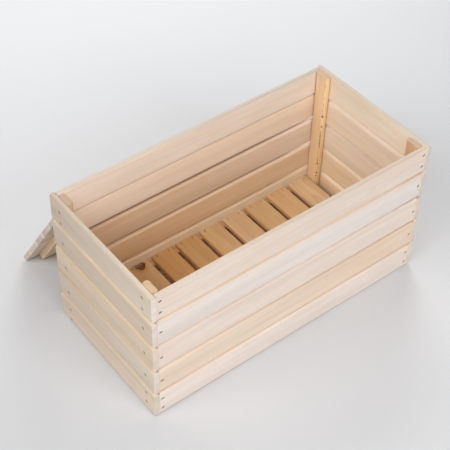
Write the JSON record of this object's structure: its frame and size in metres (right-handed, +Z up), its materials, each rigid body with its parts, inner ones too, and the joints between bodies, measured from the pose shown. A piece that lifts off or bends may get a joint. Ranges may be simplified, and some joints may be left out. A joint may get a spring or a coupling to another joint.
{
  "type": "slatted wooden shipping crate",
  "caption": "Open-topped slatted pine crate with corner posts, a slatted floor on bearers and a loose slatted lid leaning on its back wall.",
  "frame": {"origin": "middle of the front wall's underside, on the ground", "axes": "+X along the crate's length, +Y from the front wall to the back wall where the lid leans, +Z up"},
  "size_m": [0.8, 0.6042, 0.4],
  "materials": {
    "pine_wall": "planed, unfinished",
    "pine_post": "planed, unfinished",
    "pine_floor": "planed, unfinished",
    "pine_lid": "planed, unfinished",
    "staple_steel": "dull, slightly oxidised"
  },
  "bodies": {
    "crate": {"front_slat_1": "pine_wall", "front_slat_2": "pine_wall", "front_slat_3": "pine_wall", "front_slat_4": "pine_wall", "front_slat_5": "pine_wall", "back_slat_1": "pine_wall", "back_slat_2": "pine_wall", "back_slat_3": "pine_wall", "back_slat_4": "pine_wall", "back_slat_5": "pine_wall", "left_end_slat_1": "pine_wall", "left_end_slat_2": "pine_wall", "left_end_slat_3": "pine_wall", "left_end_slat_4": "pine_wall", "left_end_slat_5": "pine_wall", "right_end_slat_1": "pine_wall", "right_end_slat_2": "pine_wall", "right_end_slat_3": "pine_wall", "right_end_slat_4": "pine_wall", "right_end_slat_5": "pine_wall", "front_left_post": "pine_post", "front_right_post": "pine_post", "back_left_post": "pine_post", "back_right_post": "pine_post", "front_bearer": "pine_floor", "back_bearer": "pine_floor", "floor_slat_1": "pine_floor", "floor_slat_2": "pine_floor", "floor_slat_3": "pine_floor", "floor_slat_4": "pine_floor", "floor_slat_5": "pine_floor", "floor_slat_6": "pine_floor", "floor_slat_7": "pine_floor", "floor_slat_8": "pine_floor", "floor_slat_9": "pine_floor", "floor_slat_10": "pine_floor", "front_staples": "staple_steel", "back_staples": "staple_steel", "left_end_staples": "staple_steel", "right_end_staples": "staple_steel", "bearer_staples": "staple_steel", "floor_staples": "staple_steel"},
    "lid": {"lid_slat_1": "pine_lid", "lid_slat_2": "pine_lid", "lid_slat_3": "pine_lid", "lid_slat_4": "pine_lid", "lid_slat_5": "pine_lid", "left_lid_batten": "pine_post", "right_lid_batten": "pine_post", "lid_staples": "staple_steel"}
  },
  "joints": [
    {"name": "lid_lift", "type": "slide", "parent": "crate", "child": "lid", "axis": [0, 0, 1], "range_m": [0, 0.45]}
  ]
}
